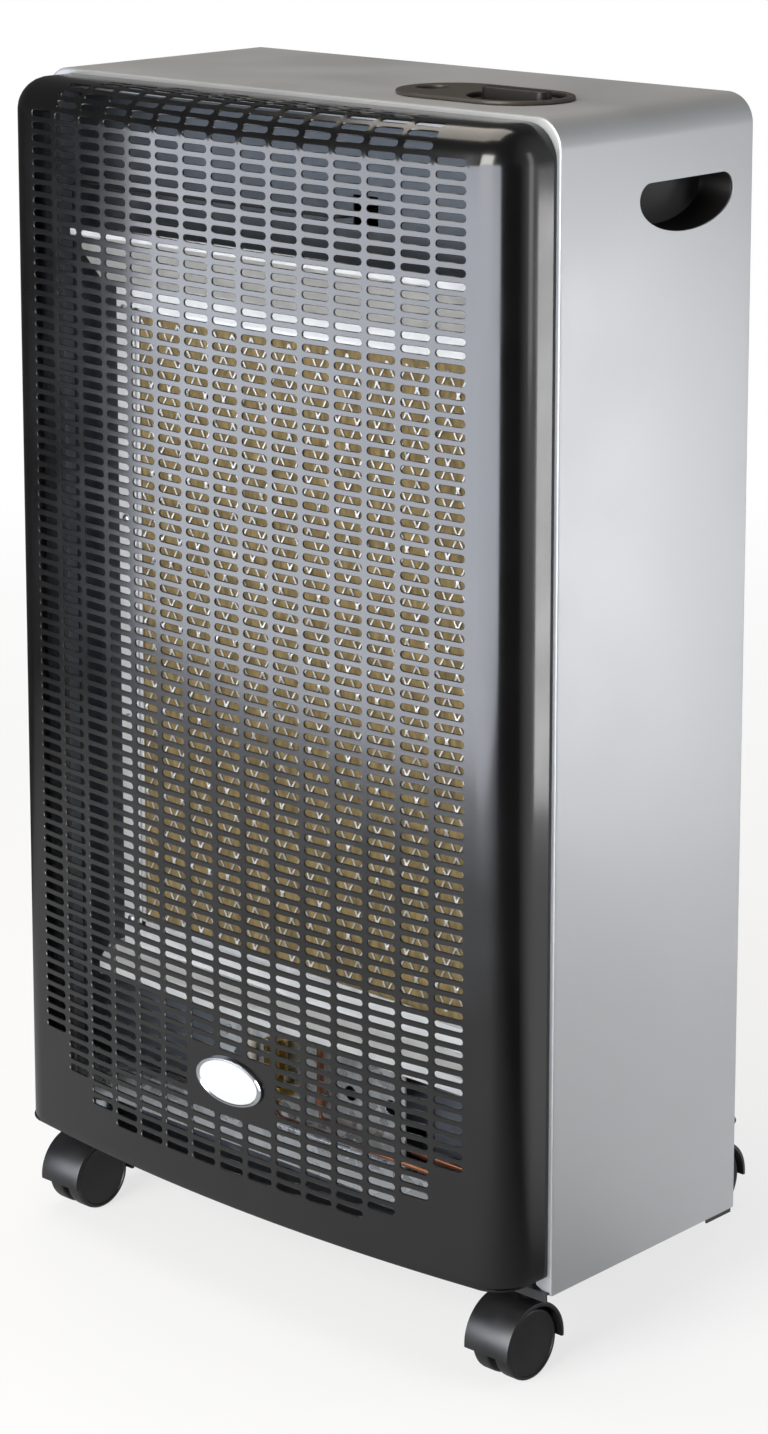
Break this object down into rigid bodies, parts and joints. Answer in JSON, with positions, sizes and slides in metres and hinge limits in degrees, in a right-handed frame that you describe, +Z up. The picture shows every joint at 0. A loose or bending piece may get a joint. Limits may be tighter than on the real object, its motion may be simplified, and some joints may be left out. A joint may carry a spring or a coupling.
{
  "type": "portable gas cabinet heater",
  "caption": "Portable gas cabinet heater with a slotted, bowed front cover, catalytic burner, bottle bay with lift-off rear cover, top control knob, hand grips and twin-wheel castors.",
  "frame": {"origin": "on the floor, under the middle of the whole heater's footprint", "axes": "+Z up, the slotted front faces -Y, +X to the right seen from the front, where the control knob is"},
  "size_m": [0.424, 0.4004, 0.7613],
  "materials": {
    "silver_paint": "satin silver paint",
    "black_enamel": "semi-gloss black enamel",
    "white_badge": "gloss white",
    "dark_tray": "satin dark grey paint",
    "black_plastic": "fine-grained matt black",
    "castor_plastic": "moulded black nylon",
    "galvanised_sheet": "bright galvanised",
    "bright_mesh": "bright expanded metal",
    "catalyst_pad": "matt golden-brown fibre",
    "insulating_fibre": "matt white fibre",
    "brass": "turned",
    "copper_tube": "drawn copper",
    "cast_aluminium": "as cast",
    "porcelain": "glazed white",
    "lead_rubber": "black insulation",
    "bright_steel": "zinc plated"
  },
  "bodies": {
    "cabinet": {"cabinet_shell": "silver_paint", "front_cover": "black_enamel", "badge_plate": "white_badge", "base_tray": "dark_tray", "control_bezel": "black_plastic", "grip_cup_right": "black_plastic", "grip_cup_left": "black_plastic", "piezo_igniter": "black_plastic", "valve_bracket": "galvanised_sheet", "burner_pan": "galvanised_sheet", "burner_frame": "galvanised_sheet", "burner_rail_right": "galvanised_sheet", "burner_rail_left": "galvanised_sheet", "partition_panel": "galvanised_sheet", "heat_hood": "galvanised_sheet", "burner_shelf": "galvanised_sheet", "cross_rail": "galvanised_sheet", "pilot_plate": "galvanised_sheet", "mesh_guard": "bright_mesh", "catalytic_pad": "catalyst_pad", "insulation_mat": "insulating_fibre", "gas_inlet": "brass", "pilot_burner": "brass", "injector": "brass", "burner_feed_tube": "copper_tube", "pilot_line": "copper_tube", "thermocouple": "copper_tube", "thermocouple_lead": "copper_tube", "valve_body": "cast_aluminium", "spark_electrode": "porcelain", "ignition_lead": "lead_rubber", "castor_socket_front_left": "bright_steel", "castor_socket_front_right": "bright_steel", "castor_socket_rear_left": "bright_steel", "castor_socket_rear_right": "bright_steel"},
    "valve_plug": {"valve_plug": "brass"},
    "knob": {"control_knob": "black_plastic", "valve_spindle": "bright_steel"},
    "button": {"igniter_button": "black_plastic"},
    "rear_cover": {"rear_cover": "black_enamel"},
    "castor_front_left": {"castor_stem_front_left": "bright_steel", "castor_hood_front_left": "castor_plastic"},
    "wheels_front_left": {"castor_axle_front_left": "bright_steel", "castor_wheel_left_front_left": "castor_plastic", "castor_wheel_right_front_left": "castor_plastic"},
    "castor_front_right": {"castor_stem_front_right": "bright_steel", "castor_hood_front_right": "castor_plastic"},
    "wheels_front_right": {"castor_axle_front_right": "bright_steel", "castor_wheel_left_front_right": "castor_plastic", "castor_wheel_right_front_right": "castor_plastic"},
    "castor_rear_left": {"castor_stem_rear_left": "bright_steel", "castor_hood_rear_left": "castor_plastic"},
    "wheels_rear_left": {"castor_axle_rear_left": "bright_steel", "castor_wheel_left_rear_left": "castor_plastic", "castor_wheel_right_rear_left": "castor_plastic"},
    "castor_rear_right": {"castor_stem_rear_right": "bright_steel", "castor_hood_rear_right": "castor_plastic"},
    "wheels_rear_right": {"castor_axle_rear_right": "bright_steel", "castor_wheel_left_rear_right": "castor_plastic", "castor_wheel_right_rear_right": "castor_plastic"}
  },
  "joints": [
    {"name": "knob_turn", "type": "hinge", "parent": "cabinet", "child": "valve_plug", "pos_m": [0.1295, -0.08475, 0.72], "axis": [0, 0, 1], "range_deg": [0, 210]},
    {"name": "knob_push", "type": "slide", "parent": "valve_plug", "child": "knob", "axis": [0, 0, -1], "range_m": [0, 0.004], "stiffness_N_per_m": 600, "springref_m": -0.002},
    {"name": "igniter_press", "type": "slide", "parent": "cabinet", "child": "button", "axis": [0, 0, -1], "range_m": [0, 0.005], "stiffness_N_per_m": 900, "springref_m": -0.002},
    {"name": "rear_cover_off", "type": "slide", "parent": "cabinet", "child": "rear_cover", "axis": [0, 1, 0], "range_m": [0, 0.35]},
    {"name": "swivel_front_left", "type": "hinge", "parent": "cabinet", "child": "castor_front_left", "pos_m": [-0.186, -0.12975, 0.05], "axis": [0, 0, 1], "continuous": true},
    {"name": "roll_front_left", "type": "hinge", "parent": "castor_front_left", "child": "wheels_front_left", "pos_m": [-0.186, -0.14575, 0.022], "axis": [1, 0, 0], "continuous": true},
    {"name": "swivel_front_right", "type": "hinge", "parent": "cabinet", "child": "castor_front_right", "pos_m": [0.186, -0.12975, 0.05], "axis": [0, 0, 1], "continuous": true},
    {"name": "roll_front_right", "type": "hinge", "parent": "castor_front_right", "child": "wheels_front_right", "pos_m": [0.186, -0.14575, 0.022], "axis": [1, 0, 0], "continuous": true},
    {"name": "swivel_rear_left", "type": "hinge", "parent": "cabinet", "child": "castor_rear_left", "pos_m": [-0.12, 0.13725, 0.05], "axis": [0, 0, 1], "continuous": true},
    {"name": "roll_rear_left", "type": "hinge", "parent": "castor_rear_left", "child": "wheels_rear_left", "pos_m": [-0.12, 0.12125, 0.022], "axis": [1, 0, 0], "continuous": true},
    {"name": "swivel_rear_right", "type": "hinge", "parent": "cabinet", "child": "castor_rear_right", "pos_m": [0.12, 0.13725, 0.05], "axis": [0, 0, 1], "continuous": true},
    {"name": "roll_rear_right", "type": "hinge", "parent": "castor_rear_right", "child": "wheels_rear_right", "pos_m": [0.12, 0.12125, 0.022], "axis": [1, 0, 0], "continuous": true}
  ]
}
